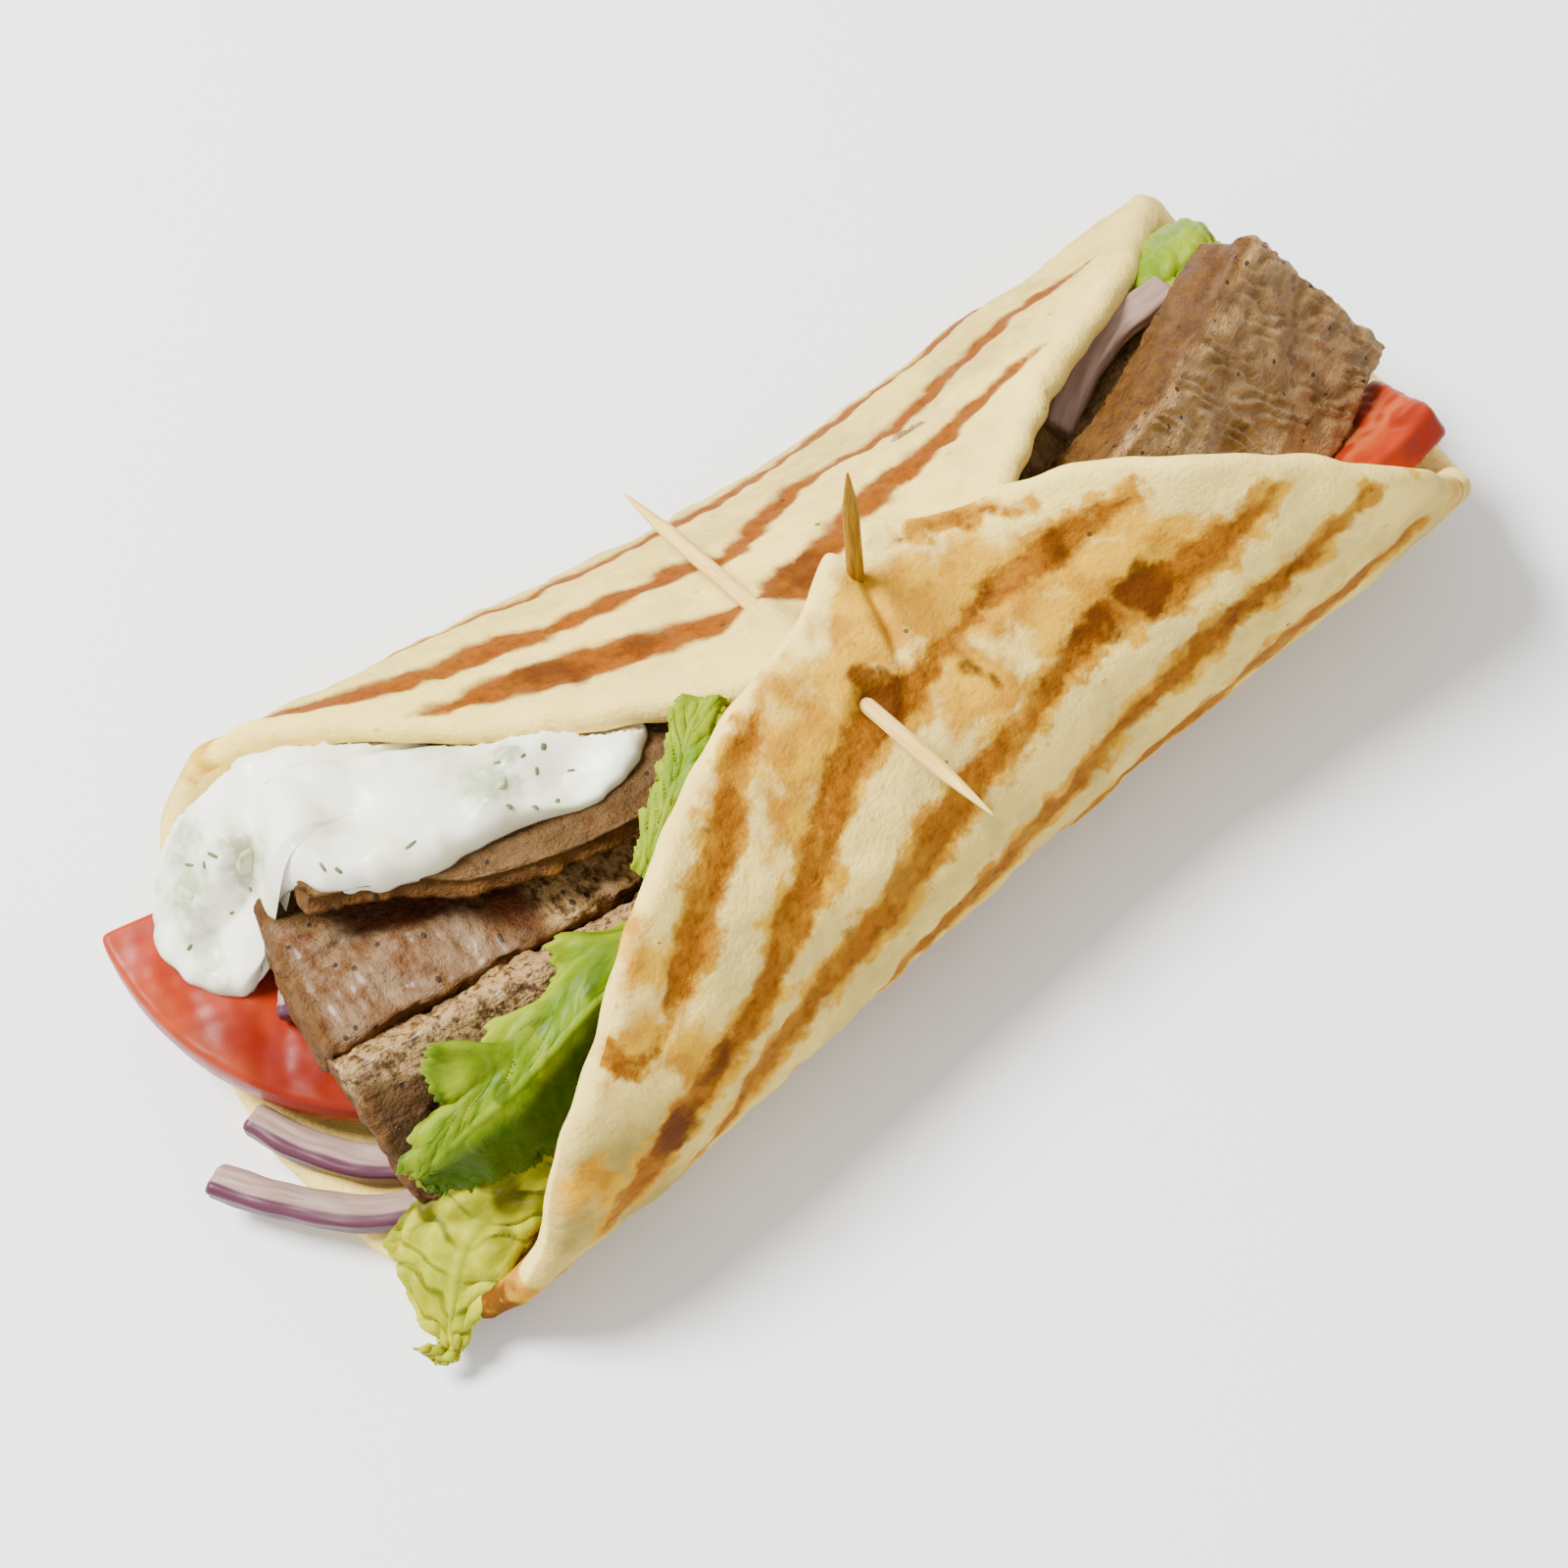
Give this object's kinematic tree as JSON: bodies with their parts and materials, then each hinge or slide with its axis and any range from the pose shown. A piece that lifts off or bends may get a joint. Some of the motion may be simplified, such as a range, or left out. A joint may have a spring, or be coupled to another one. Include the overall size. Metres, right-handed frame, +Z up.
{
  "type": "gyro wrap",
  "caption": "Gyro wrap: grilled flatbread folded over meat strips, tomato, red onion, lettuce and yoghurt sauce, open at both ends and pinned with toothpicks.",
  "frame": {"origin": "on the flat underside of the bread, under the middle of the bread disc", "axes": "+X along the wrap towards the end with the broad meat slice, +Y across it towards the lower flap that the other flap covers, +Z up"},
  "size_m": [0.189, 0.0832, 0.0696],
  "materials": {
    "flatbread": "matte, dry, with browned stripes",
    "toothpick": "bare, smooth",
    "gyro_meat": "moist, satin",
    "tomato": "wet",
    "red_onion": "moist",
    "lettuce": "fresh, satin",
    "yoghurt_sauce": "creamy, satin"
  },
  "bodies": {
    "root": {"flatbread": "flatbread", "toothpick_across": "toothpick", "toothpick_upright": "toothpick", "sauce": "yoghurt_sauce", "meat_top": "gyro_meat", "meat_middle": "gyro_meat", "meat_near": "gyro_meat", "meat_broad": "gyro_meat", "meat_far": "gyro_meat", "tomato_left": "tomato", "tomato_right": "tomato", "onion_left_upper": "red_onion", "onion_left_lower": "red_onion", "onion_left_inner": "red_onion", "onion_right": "red_onion", "lettuce_left_upper": "lettuce", "lettuce_left_lower": "lettuce", "lettuce_middle": "lettuce", "lettuce_through": "lettuce"}
  },
  "joints": []
}
